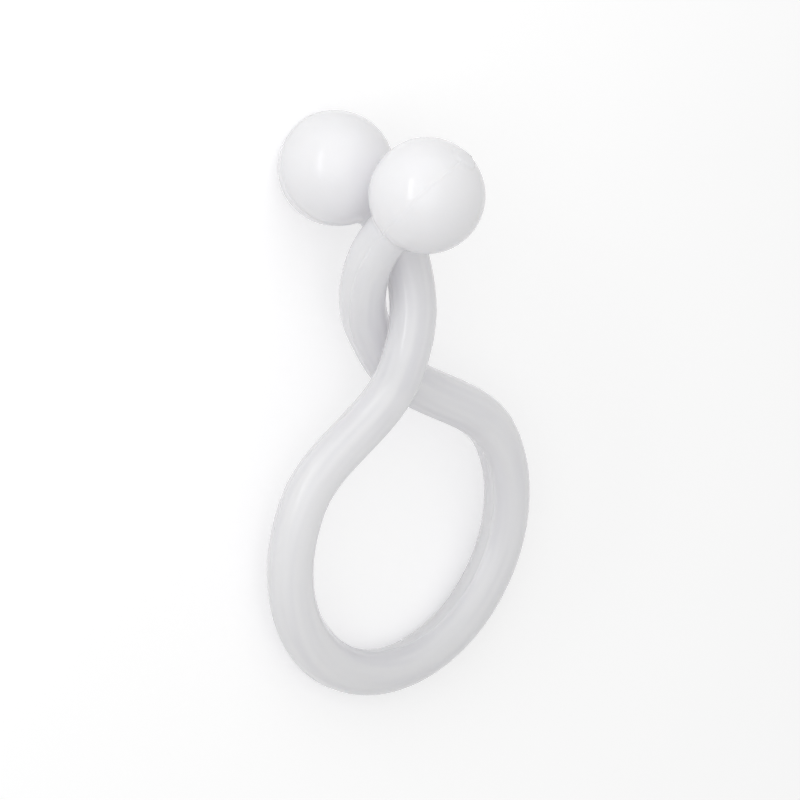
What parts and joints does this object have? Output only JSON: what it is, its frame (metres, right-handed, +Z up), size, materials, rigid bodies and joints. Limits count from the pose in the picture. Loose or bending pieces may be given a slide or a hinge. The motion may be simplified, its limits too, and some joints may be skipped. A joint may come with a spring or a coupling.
{
  "type": "twist cable tie",
  "caption": "Moulded twist cable tie, a spiral cable wrap: a round plastic strand loops about a bundle, its ends twist together and each stops in a ball.",
  "frame": {"origin": "middle of the underside of the bounding box of the tie as it lies on its side on a table", "axes": "+Z up from the table, +Y along the tie from the bundle loop towards the balls, +X across the loop"},
  "size_m": [0.0172, 0.031, 0.0116],
  "materials": {
    "plastic": "satin, translucent milky white"
  },
  "bodies": {
    "root": {"cable_tie": "plastic"}
  },
  "joints": []
}
